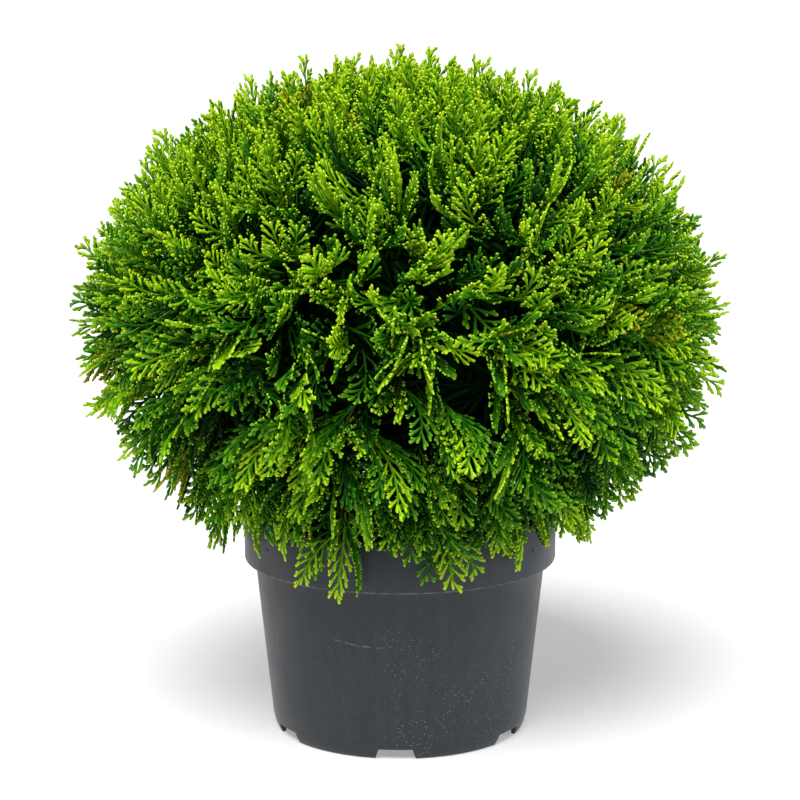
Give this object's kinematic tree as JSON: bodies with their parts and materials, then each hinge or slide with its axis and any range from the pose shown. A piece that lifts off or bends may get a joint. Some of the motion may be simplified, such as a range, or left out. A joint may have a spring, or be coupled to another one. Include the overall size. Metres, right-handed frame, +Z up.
{
  "type": "potted thuja",
  "caption": "Dense rounded evergreen shrub with flat fern-like sprays, growing in a round tapered nursery pot with a stepped rim.",
  "frame": {"origin": "centre of the pot's foot ring, on the surface that the pot stands on", "axes": "+Z up along the pot's axis, -Y towards the front of the plant, +X to the right seen from the front"},
  "size_m": [0.392, 0.392, 0.413],
  "materials": {
    "pot": "matt dark grey plastic, slightly bluish, a little scuffed",
    "soil": "dark crumbly bark and peat potting mix",
    "bark": "fibrous red-brown bark in vertical strips",
    "foliage": "satin fresh green scale leaves, brighter at the tips, darker inside the crown"
  },
  "bodies": {
    "root": {"pot": "pot", "potting_soil": "soil", "trunk": "bark", "bough_lower_1": "bark", "bough_lower_2": "bark", "bough_lower_3": "bark", "bough_lower_4": "bark", "bough_lower_5": "bark", "bough_lower_6": "bark", "bough_middle_1": "bark", "bough_middle_2": "bark", "bough_middle_3": "bark", "bough_middle_4": "bark", "bough_middle_5": "bark", "bough_middle_6": "bark", "bough_middle_7": "bark", "bough_upper_1": "bark", "bough_upper_2": "bark", "bough_upper_3": "bark", "bough_upper_4": "bark", "bough_upper_5": "bark", "foliage_top": "foliage", "foliage_lower_1": "foliage", "foliage_lower_2": "foliage", "foliage_lower_3": "foliage", "foliage_lower_4": "foliage", "foliage_lower_5": "foliage", "foliage_lower_6": "foliage", "foliage_middle_1": "foliage", "foliage_middle_2": "foliage", "foliage_middle_3": "foliage", "foliage_middle_4": "foliage", "foliage_middle_5": "foliage", "foliage_middle_6": "foliage", "foliage_middle_7": "foliage", "foliage_upper_1": "foliage", "foliage_upper_2": "foliage", "foliage_upper_3": "foliage", "foliage_upper_4": "foliage", "foliage_upper_5": "foliage"}
  },
  "joints": []
}
